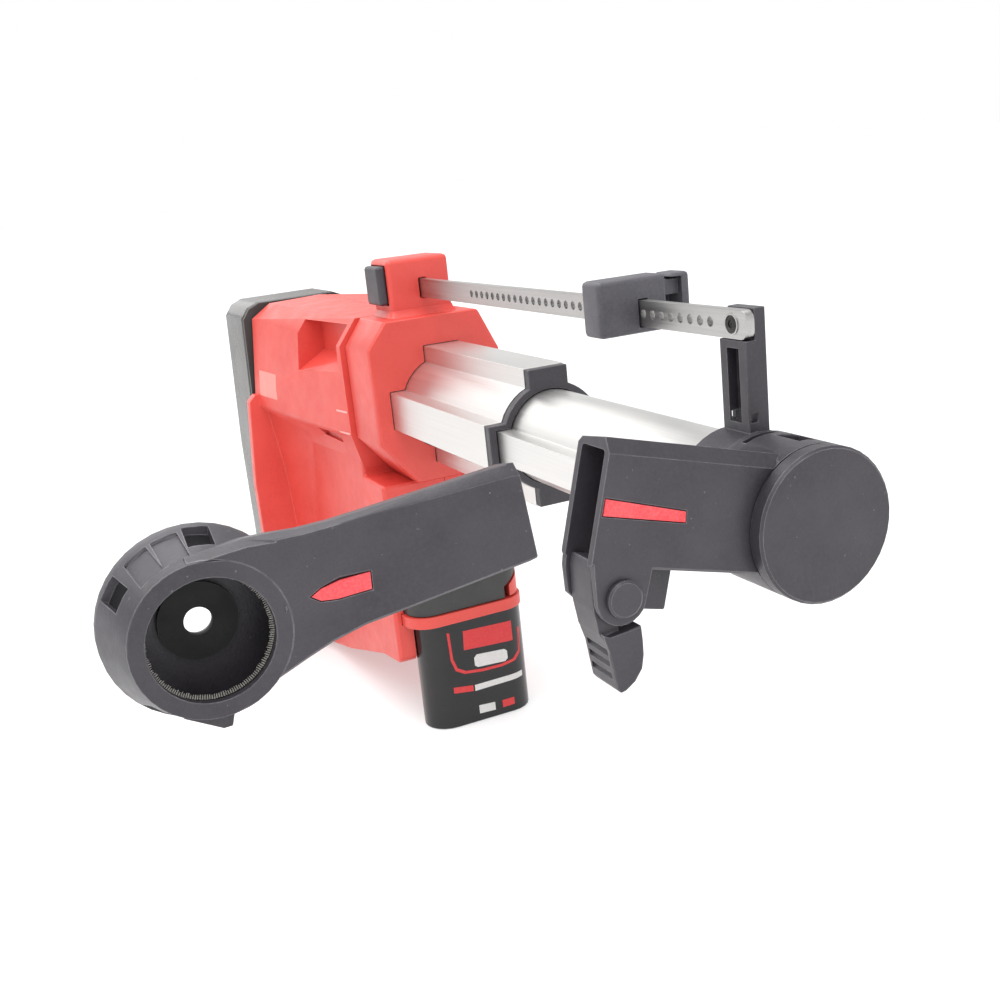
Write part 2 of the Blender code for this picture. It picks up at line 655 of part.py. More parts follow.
def depth_rod():
    """Flat bar with a row of round holes and rounded ends."""
    back = ROD_FRONT_Y + ROD_LENGTH
    bottom = ROD_CENTRE_Z - ROD_HEIGHT / 2
    outline = rounded_rectangle(ROD_FRONT_Y, back, bottom, bottom + ROD_HEIGHT, 2.6, 4)
    holes = [circle(2.0, 16, ROD_SCREW_Y, ROD_CENTRE_Z)]
    for index in range(ROD_HOLE_COUNT):
        y = ROD_FIRST_HOLE_Y + ROD_HOLE_PITCH * index
        holes.append(circle(ROD_HOLE_RADIUS, 8, y, ROD_CENTRE_Z))
    rod = prism("depth_rod", [outline] + holes, POST_LEFT, POST_LEFT + ROD_THICKNESS, "yz")
    finish(rod, STEEL)
    screw = turned("rod_screw", [(0, 5.6), (1.1, 5.6), (1.1, 1.6), (1.7, 1.3), (1.7, 0.35), (1.7, 0.2),
                                 (0, 0.2)], steps=SMALL_ROUND)
    aim_along_x(screw, POST_LEFT, ROD_SCREW_Y, ROD_CENTRE_Z)
    finish(screw, STEEL)


def depth_stop():
    block = box("depth_stop", (STOP_LEFT, STOP_RIGHT), (STOP_FRONT_Y, STOP_BACK_Y), (STOP_BOTTOM, STOP_TOP))
    bevel(block, 1.6, 2)
    cut(block, box("stop_rod_way", (POST_LEFT - GAP, POST_LEFT + ROD_THICKNESS + GAP),
                   (STOP_FRONT_Y - OVER, STOP_BACK_Y + OVER),
                   (ROD_CENTRE_Z - ROD_HEIGHT / 2 - GAP, ROD_CENTRE_Z + ROD_HEIGHT / 2 + GAP)))
    cut(block, box("stop_stem_way", (1.4, STOP_RIGHT + OVER), (85.6, 90.2), (53.4, 58.8)))
    finish(block, BLACK)
    low = STOP_RIGHT + GAP + BUTTON_TRAVEL
    button = box("stop_button", (low, 17.6), (83.6, 93.5), (45.0, 60.4))
    bevel(button, 1.2, 2)
    cut(button, box("button_recess", (low - OVER, 14.6), (82.0, 91.4), (46.6, 59.2)))
    join(button, box("stop_stem", (1.4 + GAP + BUTTON_TRAVEL, 14.8), (85.6 + GAP, 90.2 - GAP),
                     (53.4 + GAP, 58.8 - GAP)))
    finish(button, BLACK)


# ---------------------------------------------------------------- outer tube and collar

def outer_tube():
    wall = OUTER_WALL
    outside = lugged(OUTER_TUBE_RADIUS, OUTER_LUG_HALF_WIDTH, OUTER_LUG_REACH)
    inside = lugged(OUTER_TUBE_RADIUS - wall, OUTER_LUG_HALF_WIDTH - wall, OUTER_LUG_REACH - wall)
    tube = prism("outer_tube", [outside, inside], OUTER_TUBE_FRONT_Y, OUTER_TUBE_BACK_Y, "xz")
    finish(tube, ALUMINIUM)
    flange = lugged(OUTER_TUBE_RADIUS - 0.3, OUTER_LUG_HALF_WIDTH - 0.3, OUTER_LUG_REACH - 0.3)
    sleeve = lugged(OUTER_TUBE_RADIUS - wall - GAP, OUTER_LUG_HALF_WIDTH - wall - GAP,
                    OUTER_LUG_REACH - wall - GAP)
    bore = lugged(INNER_TUBE_RADIUS + 0.35, RAIL_HALF_WIDTH + 0.2, RAIL_REACH + 0.35, (180,))
    bushing = prism("tube_bushing", [flange], BUSHING_FRONT_Y, OUTER_TUBE_FRONT_Y - GAP, "xz")
    inner = prism("bushing_sleeve", [sleeve], OUTER_TUBE_FRONT_Y - GAP - 0.5, BUSHING_BACK_Y, "xz")
    join(bushing, inner, "MANIFOLD")
    cut(bushing, prism("bushing_bore", [bore], BUSHING_FRONT_Y - OVER, BUSHING_BACK_Y + OVER, "xz"),
        "MANIFOLD")
    finish(bushing, BLACK)


def front_collar():
    """Red ring where the outer tube enters the body."""
    outline = [(-33.7, -15.0), (-18.0, -34.0), (14.0, -34.0), (28.0, -20.0), (28.0, 20.0), (19.4, BODY_TOP),
               (-25.0, BODY_TOP), (-33.7, 27.0)]
    bore = lugged(OUTER_TUBE_RADIUS + GAP, OUTER_LUG_HALF_WIDTH + GAP, OUTER_LUG_REACH + GAP)
    collar = prism("front_collar", [outline], COLLAR_FRONT_Y, COLLAR_BACK_Y - GAP, "xz")
    bevel(collar, 1.6, 2, 60)
    cut(collar, prism("collar_bore", [bore], COLLAR_FRONT_Y - OVER, COLLAR_BACK_Y + OVER, "xz"))
    finish(collar, RED)


def rod_guide():
    """Block on the collar that the depth rod slides through, and its lock button."""
    block = box("rod_guide_block", (-17.0, 12.0), (265.0, 288.0), (BODY_TOP + GAP, 63.5))
    bevel(block, 2.2, 2)
    cut(block, box("guide_way", (POST_LEFT - GAP, POST_LEFT + ROD_THICKNESS + GAP), (260.0, 292.0),
                   (ROD_CENTRE_Z - ROD_HEIGHT / 2 - GAP, ROD_CENTRE_Z + ROD_HEIGHT / 2 + GAP)))
    cut(block, box("button_pocket", (-20.0, -14.2), (267.7, 285.3), (43.7, 61.3)))
    finish(block, RED)
    button = box("rod_lock_button", (-21.0, -14.5 - BUTTON_TRAVEL + 0.4), (268.0, 285.0), (44.0, 61.0))
    bevel(button, 1.4, 2)
    finish(button, BLACK)


# ---------------------------------------------------------------- housing

def upper_form(name, margin=0.0):
    """Barrel of the body: it widens and rises a little towards the back."""
    front = [(-32.0, -30.0), (22.0, -30.0), (30.0, -16.0), (30.0, 27.0), (20.0, 38.0), (-8.0, 38.6),
             (-27.0, 38.6), (-36.0, 27.0), (-36.0, -14.0)]
    back = [(-34.0, -30.0), (22.0, -30.0), (30.0, -16.0), (30.0, 27.0), (19.0, 38.0), (-8.0, 41.2),
            (-35.5, 40.2), (-46.0, 33.2), (-51.0, -12.0)]
    return loft(name, [(COLLAR_BACK_Y + margin, offset(front, -margin)),
                       (BODY_BACK_Y - 0.8 - margin, offset(back, -margin))], "xz")


def lower_form(name, margin=0.0):
    """Foot of the body around the back of the battery; it deepens towards the dust box."""
    back = BODY_BACK_Y - 0.4
    section = [(262.0, -34.4), (262.0, -72.0), (269.0, -77.0), (269.0, -120.5), (272.0, -122.6),
               (294.0, -125.5), (352.0, -142.0), (386.0, -149.5), (back, LOWER_BOTTOM), (back, -20.0),
               (COLLAR_BACK_Y + GAP, -20.0), (COLLAR_BACK_Y + GAP, -34.4)]
    form = prism(name, [offset(section, -margin)], LOWER_LEFT + margin, LOWER_RIGHT - margin, "yz")
    if not margin:
        bevel(form, 3.0, 2, 50)
    return form


def gusset(name):
    """Widens the foot's left side where it meets the rear flange."""
    back = BODY_BACK_Y - 3.0
    stations = [(z, [(LOWER_LEFT + 1.0, start), (reach, back), (LOWER_LEFT + 1.0, back)])
                for z, start, reach in ((-12.0, 360.0, -48.0), (-56.0, 368.0, -42.0), (-146.0, 384.0, -38.0))]
    return loft(name, stations, "xy")


def housing():
    """Two shells that meet at the parting plane, hollow, with every opening cut through."""
    whole = lower_form("housing_left")
    join(whole, upper_form("upper_barrel"))
    join(whole, gusset("left_gusset"))
    flange = [(35.5, -10.5), (31.5, -6.5), (-52.0, -6.5), (-55.6, -10.0), (-59.0, -54.0), (-59.0, -148.0),
              (-55.0, -152.0), (31.5, -152.0), (35.5, -148.0)]
    join(whole, prism("rear_flange", [flange], BODY_BACK_Y - 6.5, BODY_BACK_Y, "xz"))
    cut(whole, lower_form("lower_hollow", BODY_WALL))
    cut(whole, upper_form("upper_hollow", BODY_WALL))
    join(whole, box("bay_walls", (LOWER_LEFT + 0.8, LOWER_RIGHT - 0.8), (269.8, 302.2), (-119.6, -69.4)))
    bore = lugged(OUTER_TUBE_RADIUS + GAP, OUTER_LUG_HALF_WIDTH + GAP, OUTER_LUG_REACH + GAP)
    cut(whole, prism("tube_entry", [bore], COLLAR_BACK_Y - OVER, COLLAR_BACK_Y + 8, "xz"))
    cut(whole, box("battery_bay", (-28.3, 28.3), (250.0, 299.7), (-103.6, -71.7)))
    cut(whole, box("skirt_way", (-29.7, 29.7), (250.0, 283.5), (-103.6, -97.7)))
    cut(whole, prism("battery_side", [battery_outline(0.6)], -170.0, -100.0, "xy"))
    cut(whole, turned("duct_exit", [(0, 415), (20.3, 415), (20.3, 396), (0, 396)]), "MANIFOLD")
    cut(whole, turned("fan_intake", [(0, 415), (16.0, 415), (16.0, 396), (0, 396)], MOTOR_X, MOTOR_Z))
    cut(whole, box("power_button_way", (20.0, 40.0), (348.0, 364.0), (-3.0, 9.0)))
    cut(whole, box("exhaust_way", (20.0, 40.0), (330.0, 380.0), (-74.0, -48.0)))
    cut(whole, box("side_slot", (-48.0, -33.5), (306.0, 334.0), (-20.6, -16.4)))
    for index, (y, z) in enumerate(SCREW_PLACES):
        hole = turned("screw_way_%d" % index, [(0, 60), (3.4, 60), (3.4, 0), (0, 0)], steps=16)
        hole.location = (16.0 * MM, y * MM, z * MM)
        hole.rotation_euler = (math.pi / 2, 0, math.pi / 2)
        cut(whole, hole)
    notch = [(POCKET_FLOOR_X, POCKET_BOTTOM + 8.6), (POCKET_FLOOR_X, POCKET_TOP), (-62.0, POCKET_TOP),
             (-62.0, POCKET_BOTTOM), (-42.0, POCKET_BOTTOM)]
    walls = prism("pocket_walls", [offset(notch, 2.4)], POCKET_FRONT_Y - 2.4, POCKET_BACK_Y + 2.4, "xz")
    join(whole, combine(walls, upper_form("pocket_limit", 0.4), "INTERSECT"))
    cut(whole, prism("dock_pocket", [notch], POCKET_FRONT_Y, POCKET_BACK_Y, "xz"))
    right = bpy.data.objects.new("housing_right", whole.data.copy())
    right.location = whole.location
    right.rotation_euler = whole.rotation_euler
    place(right, ARM, PARTS)
    for modifier in whole.modifiers:
        copy_modifier(modifier, right)
    cut(whole, box("right_half", (SPLIT_X - 0.15, 80.0), (200.0, 480.0), (-200.0, 100.0)))
    cut(right, box("left_half", (-80.0, SPLIT_X + 0.15), (200.0, 480.0), (-200.0, 100.0)))
    finish(whole, RED)
    finish(right, RED)


def copy_modifier(source, target):
    """Repeat a bevel or boolean on the other shell."""
    twin = target.modifiers.new(source.name, source.type)
    if source.type == "BEVEL":
        twin.width = source.width
        twin.segments = source.segments
        twin.limit_method = source.limit_method
        twin.angle_limit = source.angle_limit
    else:
        twin.operation = source.operation
        twin.solver = source.solver
        twin.object = source.object


SCREW_PLACES = ((318.0, 24.0), (388.0, 24.0), (318.0, -96.0), (390.0, -110.0))


def housing_screws():
    """Screws that hold the right shell to the left one."""
    for index, (y, z) in enumerate(SCREW_PLACES):
        screw = turned("housing_screw_%d" % (index + 1), [
            (0, 12.0), (3.0, 12.0), (3.0, 9.6), (1.4, 9.6), (1.4, -3.0), (0, -3.0)], steps=16)
        screw.location = (14.0 * MM, y * MM, z * MM)
        screw.rotation_euler = (math.pi / 2, 0, math.pi / 2)
        finish(screw, STEEL)


# ---------------------------------------------------------------- inside the housing

def duct_adapter():
    """Round duct that carries the air from the outer tube to the dust box."""
    duct = turned("duct_adapter", [
        (20.0, 412.5), (20.0, 370.0), (24.0, OUTER_TUBE_BACK_Y + GAP), (22.4, OUTER_TUBE_BACK_Y + GAP),
        (18.4, 370.0), (18.4, 412.5)], closed=True)
    finish(duct, GREY)


def fan():
    """Motor, impeller and the scroll around it, on an axis along the body."""
    motor = turned("fan_motor", [
        (13.5, 342.0), (13.5, 304.0), (2.2, 304.0), (2.2, 306.5), (11.5, 306.5), (11.5, 339.5), (2.2, 339.5),
        (2.2, 342.0)], MOTOR_X, MOTOR_Z, closed=True, steps=32)
    finish(motor, STEEL)
    shaft = turned("motor_shaft", [(0, 356.0), (1.6, 356.0), (1.6, 338.8), (6.5, 338.8), (6.5, 308.0),
                                   (1.6, 308.0), (1.6, 302.0), (0, 302.0)], MOTOR_X, MOTOR_Z, steps=24)
    finish(shaft, STEEL)
    wheel = turned("fan_impeller", [
        (22.0, 350.0), (22.0, 348.4), (4.6, 348.4), (4.6, 350.0)], MOTOR_X, MOTOR_Z, closed=True, steps=32)
    join(wheel, turned("impeller_hub", [(5.0, 358.5), (5.0, 348.4), (1.9, 348.4), (1.9, 358.5)],
                       MOTOR_X, MOTOR_Z, closed=True, steps=24))
    for index in range(8):
        angle = 2 * math.pi * index / 8
        blade = box("blade_%d" % index, (0, 17.0), (349.0, 360.0), (-0.6, 0.6))
        blade.location[0] = (MOTOR_X + 13.2 * math.cos(angle)) * MM
        blade.location[2] = (MOTOR_Z + 13.2 * math.sin(angle)) * MM
        blade.rotation_euler = (0, -angle - 0.35, 0)
        join(wheel, blade)
    finish(wheel, GREY)
    scroll = turned("fan_scroll", [
        (26.0, 366.0), (26.0, 344.6), (14.0, 344.6), (14.0, 346.4), (24.2, 346.4), (24.2, 364.2),
        (15.0, 364.2), (15.0, 366.0)], MOTOR_X, MOTOR_Z, closed=True)
    cut(scroll, box("scroll_exit", (10.0, 32.0), (350.0, 361.0), (MOTOR_Z - 20.0, MOTOR_Z - 6.0)))
    finish(scroll, GREY)


def electrics():
    board = box("control_board", (-27.0, 20.0), (306.0, 372.0), (-103.0, -101.4))
    finish(board, BOARD)
    button = box("power_button", (25.4, 31.6), (348.5, 363.5), (-2.5, 8.5))
    bevel(button, 1.0, 2)
    finish(button, BLACK)
    slats = [rectangle(331.0 + 5.4 * i, 334.6 + 5.4 * i, -71.0, -51.0) for i in range(9)]
    grille = prism("exhaust_grille", [rectangle(330.3, 379.7, -73.7, -48.3)] + slats, 28.6, 30.6, "yz")
    finish(grille, GREY)


def battery_outline(margin=0.0):
    """Three-cell section: a broad rounded front and a narrower rounded back."""
    points = []
    for cx, cy, radius, start, end in (
            (BATTERY_MID_X + 15.0, BATTERY_FRONT_Y + 11.7, 11.7, -90, 40),
            (BATTERY_MID_X, BATTERY_FRONT_Y + 24.5, 13.5, 40, 140),
            (BATTERY_MID_X - 15.0, BATTERY_FRONT_Y + 11.7, 11.7, 140, 270)):
        for i in range(9):
            angle = math.radians(start + (end - start) * i / 8)
            points.append((cx + (radius + margin) * math.cos(angle),
                           cy + (radius + margin) * math.sin(angle)))
    return points


def battery():
    """Stick battery with a stem that plugs up into the receptacle."""
    back = BATTERY_FRONT_Y + BATTERY_DEPTH
    pack = prism("battery_pack", [battery_outline()], BASE_Z, -103.6, "xy")
    bevel(pack, 1.6, 2, 60)
    stem = rounded_rectangle(-13.0, 17.0, BATTERY_FRONT_Y + 6, back - 8, 8.0, 4)
    join(pack, prism("battery_stem", [stem], -106.0, -77.0, "xy"))
    finish(pack, GREY)
    socket_outline = rounded_rectangle(-28.0, 28.0, 255.6, 299.4, 11.0, 6)
    way = rounded_rectangle(-13.4, 17.4, BATTERY_FRONT_Y + 5.6, back - 7.6, 8.2, 4)
    receptacle = prism("battery_receptacle", [socket_outline, way], -97.6, -72.0, "xy")
    finish(receptacle, GREY)
    wedge = [(18.2, -97.9), (32.0, -97.9), (32.0, -83.4), (18.2, -92.2)]
    cut(receptacle, prism("release_pocket", [wedge], 252.0, 267.3, "xz"))
    corner = [(17.0 + 11.3 * math.cos(math.radians(turn)), 266.6 + 11.3 * math.sin(math.radians(turn)))
              for turn in (-70, -60, -50, -40, -30, -20, -10, -1)]
    release = prism("battery_release", [corner + [(28.0, 266.9), (20.8, 266.9)]], -97.3, -86.6, "xy")
    cut(release, prism("release_slope", [[(20.0, -92.4), (29.0, -86.8), (29.0, -84.0), (20.0, -84.0)]],
                       250.0, 270.0, "xz"))
    bevel(release, 0.8, 2, 60)
    finish(release, RED)
    front = rounded_rectangle(-29.4, 29.4, 254.4, 299.4, 12.0, 6)[14:]
    skirt_outline = [(27.0, 283.2), (27.0, 299.4), (-27.9, 299.4), (-27.9, 283.2), (-29.4, 283.2)]
    skirt_outline += front + [(29.4, 283.2)]
    skirt = prism("battery_skirt", [skirt_outline, way], -103.3, -98.0, "xy")
    finish(skirt, RED)
    terminals = box("battery_terminals", (-10.0, 10.0), (BATTERY_FRONT_Y + 10, back - 10), (-76.6, -72.2))
    finish(terminals, GREY)


# ---------------------------------------------------------------- dust box and filter

BOX_FOOT = BASE_Z + 0.23        # the rounded foot edge swells down to the base
BOX_OUTLINE = [
    (-53.0, -146.0), (-45.0, BOX_FOOT), (30.0, BOX_FOOT), (38.0, -146.0), (38.0, 12.0), (16.0, 33.0),
    (7.0, 39.0), (1.5, 41.4), (-40.5, 41.0), (-46.5, 38.4), (-50.3, 33.0), (-53.0, -40.0)]


def dust_box():
    """Translucent tub, open to the front, with the filter frame across its mouth."""
    tub = prism("dust_box", [BOX_OUTLINE], DUST_BOX_FRONT_Y + 2.4, DUST_BOX_BACK_Y, "xz")
    bevel(tub, 3.0, 3, 55)
    inside = offset(BOX_OUTLINE, -DUST_BOX_WALL)
    cut(tub, prism("tub_hollow", [inside], DUST_BOX_FRONT_Y - 8, DUST_BOX_BACK_Y - DUST_BOX_WALL, "xz"))
    cut(tub, box("tub_button_way", (30.0, 42.0), (420.6, 433.4), (-30.4, -11.6)))
    finish(tub, SMOKE)
    rim = offset(BOX_OUTLINE, -0.3)
    intake = circle(20.5)
    outlet = rounded_rectangle(-26.0, 20.0, -120.0, -32.0, 4.0, 3)
    frame = prism("filter_frame", [rim, intake, outlet], DUST_BOX_FRONT_Y, DUST_BOX_FRONT_Y + 2.1, "xz")
    finish(frame, GREY)
    pleats = []
    count = 12
    low = -119.0
    pitch = (-33.0 - low) / count
    for index in range(count):
        pleats.append((413.2, low + pitch * index))
        pleats.append((431.0, low + pitch * (index + 0.5)))
    pleats.append((413.2, low + pitch * count))
    back = [(y + 1.3, z) for y, z in reversed(pleats)]
    filter_block = prism("pleated_filter", [pleats + back], -25.0, 19.0, "yz")
    finish(filter_block, PAPER)


def dust_box_seal():
    """Soft gasket between the body's back and the dust box."""
    outside = rounded_rectangle(-40.0, 25.5, -128.0, -24.0, 6.0, 4)
    inside = rounded_rectangle(-37.0, 22.5, -125.0, -27.0, 4.0, 4)
    seal = prism("dust_box_seal", [outside, inside], BODY_BACK_Y + GAP, DUST_BOX_FRONT_Y - GAP, "xz")
    finish(seal, RUBBER)


def dust_box_button():
    """Release button in the tub's right wall."""
    button = box("dust_box_button", (34.0, 40.6), (421.0, 433.0), (-30.0, -12.0))
    bevel(button, 1.2, 2)
    finish(button, BLACK)


elbow_housing()
socket_mark()
front_cap()
latch_pin()
latch_lever()
nozzle_duct()
nozzle_ring()
nozzle_small_parts()
post_bracket()
inner_tube()
depth_rod()
depth_stop()
outer_tube()
front_collar()
rod_guide()
housing()
housing_screws()
duct_adapter()
fan()
electrics()
battery()
dust_box()
dust_box_seal()
dust_box_button()
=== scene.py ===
"""Studio scene of the dust extractor attachment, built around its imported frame.

Most CAD nodes are replaced by a copy of themselves with rounded edges and smooth
shading.  The battery label, the rod's screw, the brush, the foot of the guide
block, the ticks and the sticker are pieces of their own.  Every material is
procedural and is laid out in the object's own coordinates, in metres.
"""
import json
import math
import random

import bmesh
import bpy
from mathutils import Matrix, Vector
from mathutils.bvhtree import BVHTree


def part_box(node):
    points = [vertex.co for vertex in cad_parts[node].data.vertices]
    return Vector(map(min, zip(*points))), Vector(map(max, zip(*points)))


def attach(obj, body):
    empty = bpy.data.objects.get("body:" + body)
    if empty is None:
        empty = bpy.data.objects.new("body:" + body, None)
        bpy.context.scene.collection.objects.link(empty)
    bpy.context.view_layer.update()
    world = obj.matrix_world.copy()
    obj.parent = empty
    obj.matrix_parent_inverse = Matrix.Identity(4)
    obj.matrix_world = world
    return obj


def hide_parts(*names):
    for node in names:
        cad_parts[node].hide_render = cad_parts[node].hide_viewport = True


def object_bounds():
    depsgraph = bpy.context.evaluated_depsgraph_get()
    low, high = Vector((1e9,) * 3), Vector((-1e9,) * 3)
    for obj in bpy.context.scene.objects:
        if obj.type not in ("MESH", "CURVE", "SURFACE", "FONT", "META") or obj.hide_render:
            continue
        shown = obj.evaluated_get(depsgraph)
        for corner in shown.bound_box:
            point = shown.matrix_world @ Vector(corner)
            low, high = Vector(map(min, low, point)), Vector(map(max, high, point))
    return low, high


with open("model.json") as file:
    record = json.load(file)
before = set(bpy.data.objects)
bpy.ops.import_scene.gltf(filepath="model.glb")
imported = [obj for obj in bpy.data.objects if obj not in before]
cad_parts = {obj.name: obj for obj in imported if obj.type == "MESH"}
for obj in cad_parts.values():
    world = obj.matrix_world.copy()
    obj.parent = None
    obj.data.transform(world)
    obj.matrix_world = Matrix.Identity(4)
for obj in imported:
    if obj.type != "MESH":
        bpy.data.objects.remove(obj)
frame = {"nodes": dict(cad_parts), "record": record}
CAD_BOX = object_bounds()

MM = 0.001
WELD = 2e-6            # corners closer than this, in metres, are one
PLAIN_ANGLE = 50.0     # edges sharper than this, in degrees, are rounded
PLAIN_CREASE = 32.0    # edges sharper than this, in degrees, are creases in the shading
SEGMENTS = 2           # of a rounded edge
TRIES = 6              # at rounding a node without folding a face
STRAIGHT_ON = -0.75    # cosine between two edges that run on as one line
ROOM_ALONG = 2.4       # least length of an edge, in roundings
ROOM_ACROSS = 1.6      # least size of a face, in roundings
LABEL_LIFT = 0.09      # of a label's face above the solid, in millimetres
LABEL_ROOT = 0.05      # of a label's underside below the solid
LABEL_PITCH = 1.1      # between the cuts that let a label follow a curve
NODES = frame["nodes"]
BODY_OF = {
    node: body
    for body, members in frame["record"]["behaviour"]["bodies"].items()
    for node in members
}
SLOT_OF = {part["node"]: part["material_slot"] for part in frame["record"]["subparts"]}


# ---------------------------------------------------------------- shader helpers

def add(tree, kind, inputs=None, **settings):
    """Adds a node; each input is either a number or another node's output."""
    node = tree.nodes.new(kind)
    for key, value in settings.items():
        setattr(node, key, value)
    for key, value in (inputs or {}).items():
        if isinstance(value, bpy.types.NodeSocket):
            tree.links.new(value, node.inputs[key])
        else:
            node.inputs[key].default_value = value
    return node


def new_material(name, **values):
    """A material with a Principled shader whose uniform values are set directly."""
    material = bpy.data.materials.new(name)
    material.use_nodes = True
    shader = material.node_tree.nodes["Principled BSDF"]
    for key, value in values.items():
        shader.inputs[key.replace("_", " ")].default_value = value
    return material, material.node_tree, shader


def place(tree, scale=(1.0, 1.0, 1.0)):
    """The object's own coordinates, stretched."""
    where = add(tree, "ShaderNodeTexCoord")
    stretched = add(tree, "ShaderNodeMapping", {"Vector": where.outputs["Object"], "Scale": scale})
    return stretched.outputs["Vector"]


def noise(tree, vector, scale, detail=3.0, roughness=0.55):
    return add(tree, "ShaderNodeTexNoise", {
        "Vector": vector, "Scale": scale, "Detail": detail, "Roughness": roughness}).outputs["Fac"]


def ramp(tree, factor, stops):
    node = add(tree, "ShaderNodeValToRGB", {"Fac": factor})
    elements = node.color_ramp.elements
    elements[0].position, elements[0].color = stops[0][0], (*stops[0][1], 1.0)
    elements[1].position, elements[1].color = stops[-1][0], (*stops[-1][1], 1.0)
    for position, colour in stops[1:-1]:
        element = elements.new(position)
        element.color = (*colour, 1.0)
    return node.outputs["Color"]


def spread(tree, factor, low, high, start=0.3, end=0.7):
    """Maps a texture's value from start..end to low..high."""
    mapped = add(tree, "ShaderNodeMapRange", {
        "Value": factor, "From Min": start, "From Max": end, "To Min": low, "To Max": high})
    return mapped.outputs["Result"]


def mix(tree, factor, first, second):
    node = add(tree, "ShaderNodeMix", {0: factor}, data_type="RGBA")
    for socket, value in ((node.inputs[6], first), (node.inputs[7], second)):
        if isinstance(value, bpy.types.NodeSocket):
            tree.links.new(value, socket)
        else:
            socket.default_value = (*value, 1.0)
    return node.outputs[2]


def bump(tree, height, strength, distance):
    inputs = {"Height": height, "Strength": strength, "Distance": distance}
    return add(tree, "ShaderNodeBump", inputs).outputs["Normal"]


def edge_mask(tree, radius):
    """1 along the edges of the solid and 0 on its flat faces."""
    rounded = add(tree, "ShaderNodeBevel", {"Radius": radius}, samples=4)
    plain = add(tree, "ShaderNodeNewGeometry")
    facing = add(tree, "ShaderNodeVectorMath", {
        0: rounded.outputs["Normal"], 1: plain.outputs["Normal"]}, operation="DOT_PRODUCT")
    return spread(tree, facing.outputs["Value"], 1.0, 0.0, 0.90, 0.995)


def finish(tree, shader, colour, roughness=None, normal=None):
    tree.links.new(colour, shader.inputs["Base Color"])
    if roughness is not None:
        tree.links.new(roughness, shader.inputs["Roughness"])
    if normal is not None:
        tree.links.new(normal, shader.inputs["Normal"])


# ---------------------------------------------------------------- materials

def moulded(
        name, dark, light, dust_wear_highlight, rough=(0.46, 0.60), grain=2400.0, depth=0.30, edge_wear_and_highlight=0.55, flecks=0.35,
        **values):
    """Moulded plastic: cloudy tone, spark-eroded grain in two sizes, dust flecks and paler edges, which are
    partly wear and partly painted highlight.
    """
    material, tree, shader = new_material(name, **values)
    here = place(tree)
    cloud = noise(tree, here, 38.0, 4.0)
    fine = noise(tree, here, grain, 2.0, 0.6)
    coarse = noise(tree, here, grain * 0.42, 3.0, 0.7)
    tone = mix(tree, spread(tree, cloud, 0.0, 1.0), dark, light)
    tone = mix(tree, spread(tree, coarse, 0.0, 0.55, 0.35, 0.70), tone, light)
    tone = mix(tree, spread(tree, fine, 0.0, 0.35, 0.45, 0.75), tone, dark)
    dust = noise(tree, here, grain * 0.36, 1.0, 0.5)
    tone = mix(tree, spread(tree, dust, 0.0, flecks, 0.76, 0.82), tone, dust_wear_highlight)
    # Paler edges: partly real wear and partly a painted highlight along every edge of the solid.
    scuff = noise(tree, here, 330.0, 3.0, 0.7)
    edges = add(tree, "ShaderNodeMath", {
        0: edge_mask(tree, 0.40 * MM), 1: spread(tree, scuff, 0.35, edge_wear_and_highlight, 0.35, 0.65),
    }, operation="MULTIPLY")
    colour = mix(tree, edges.outputs["Value"], tone, dust_wear_highlight)
    roughness = spread(tree, noise(tree, here, 120.0, 4.0), rough[0], rough[1])
    height = add(tree, "ShaderNodeMath", {0: fine, 1: coarse}, operation="ADD")
    normal = bump(tree, height.outputs["Value"], depth, 0.12 * MM)
    finish(tree, shader, colour, roughness, normal)
    return material


def drawn_metal(name, dark, light, rough, streak):
    """Metal drawn along Y: fine straight streaks, faint cloudiness and a few scratches."""
    material, tree, shader = new_material(name, Metallic=1.0)
    lines = noise(tree, place(tree, (1.0, 0.012, 1.0)), 1500.0, 3.0, 0.65)
    cloud = noise(tree, place(tree), 34.0, 4.0)
    tone = mix(tree, spread(tree, lines, 0.0, 1.0), dark, light)
    tone = mix(tree, spread(tree, cloud, 0.0, 0.22), tone, dark)
    roughness = spread(tree, lines, rough[0], rough[1])
    scratch = noise(tree, place(tree, (0.30, 0.05, 1.0)), 900.0, 1.0)
    height = add(tree, "ShaderNodeMath", {0: lines, 1: scratch}, operation="ADD")
    normal = bump(tree, height.outputs["Value"], streak, 0.03 * MM)
    finish(tree, shader, tone, roughness, normal)
    return material


def smoked(name):
    """Smoke translucent plastic with a fine dust haze inside."""
    material, tree, shader = new_material(
        name, Transmission_Weight=0.42, IOR=1.46, Specular_IOR_Level=0.5)
    here = place(tree)
    haze = noise(tree, here, 26.0, 5.0, 0.6)
    tone = ramp(tree, haze, [(0.32, (0.062, 0.057, 0.053)), (0.68, (0.100, 0.092, 0.086))])
    film = noise(tree, here, 700.0, 2.0)
    colour = mix(tree, spread(tree, film, 0.0, 0.10), tone, (0.36, 0.34, 0.32))
    normal = bump(tree, noise(tree, here, 1500.0, 2.0), 0.10, 0.05 * MM)
    finish(tree, shader, colour, spread(tree, haze, 0.20, 0.34), normal)
    return material


def printed(name, base, fleck, grain=1500.0):
    """A matt printed or painted mark with a fine fleck and faint cloudiness."""
    material, tree, shader = new_material(name, Specular_IOR_Level=0.35)
    here = place(tree)
    specks = noise(tree, here, grain, 3.0, 0.7)
    tone = mix(tree, spread(tree, specks, 0.0, 0.55, 0.42, 0.72), base, fleck)
    tone = mix(tree, spread(tree, noise(tree, here, 160.0, 3.0), 0.0, 0.25), tone, fleck)
    normal = bump(tree, specks, 0.25, 0.05 * MM)
    finish(tree, shader, tone, spread(tree, specks, 0.50, 0.66), normal)
    return material


